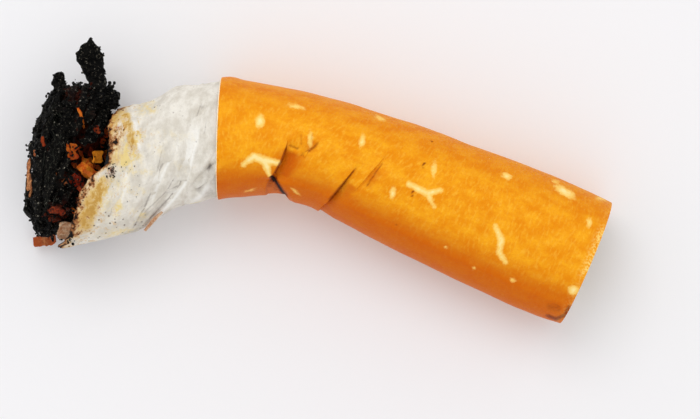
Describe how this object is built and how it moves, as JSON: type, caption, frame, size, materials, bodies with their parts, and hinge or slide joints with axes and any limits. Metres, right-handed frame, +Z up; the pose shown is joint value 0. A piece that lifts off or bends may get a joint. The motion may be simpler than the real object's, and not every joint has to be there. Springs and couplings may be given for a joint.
{
  "type": "cigarette butt",
  "caption": "Smoked, bent and crushed cigarette butt lying on its side, with a speckled cork tip, creased white paper and a charred end of burnt tobacco.",
  "frame": {"origin": "bottom centre of the bounding box: on the ground, under the middle of the butt", "axes": "+Z up; +X towards the mouth end, the way the white paper and the longest extent run; +Y towards the outer side of the bend, from which the tall charred flake stands out"},
  "size_m": [0.0368, 0.0178, 0.0078],
  "materials": {
    "acetate_tow": "matte",
    "plug_wrap_paper": "matte",
    "cork_tipping_paper": "satin",
    "white_paper": "matte",
    "cut_tobacco": "matte",
    "charred_leaf": "matte",
    "amber_leaf": "matte",
    "tan_leaf": "matte"
  },
  "bodies": {
    "root": {"filter_plug": "acetate_tow", "plug_wrap": "plug_wrap_paper", "tipping_paper": "cork_tipping_paper", "cigarette_paper": "white_paper", "tobacco_rod": "cut_tobacco", "char_crust": "charred_leaf", "charred_strand_1": "charred_leaf", "charred_strand_2": "charred_leaf", "charred_strand_3": "charred_leaf", "charred_strand_4": "charred_leaf", "charred_strand_5": "charred_leaf", "charred_strand_6": "charred_leaf", "charred_strand_7": "charred_leaf", "charred_strand_8": "charred_leaf", "amber_shred_1": "amber_leaf", "amber_shred_2": "amber_leaf", "amber_shred_3": "amber_leaf", "amber_shred_4": "amber_leaf", "tan_shred": "tan_leaf", "buff_shred": "tan_leaf", "charred_flake_tall": "charred_leaf", "charred_flake_short": "charred_leaf", "charred_flake_side": "charred_leaf", "russet_shred": "tan_leaf", "stem_splinter": "tan_leaf"}
  },
  "joints": []
}
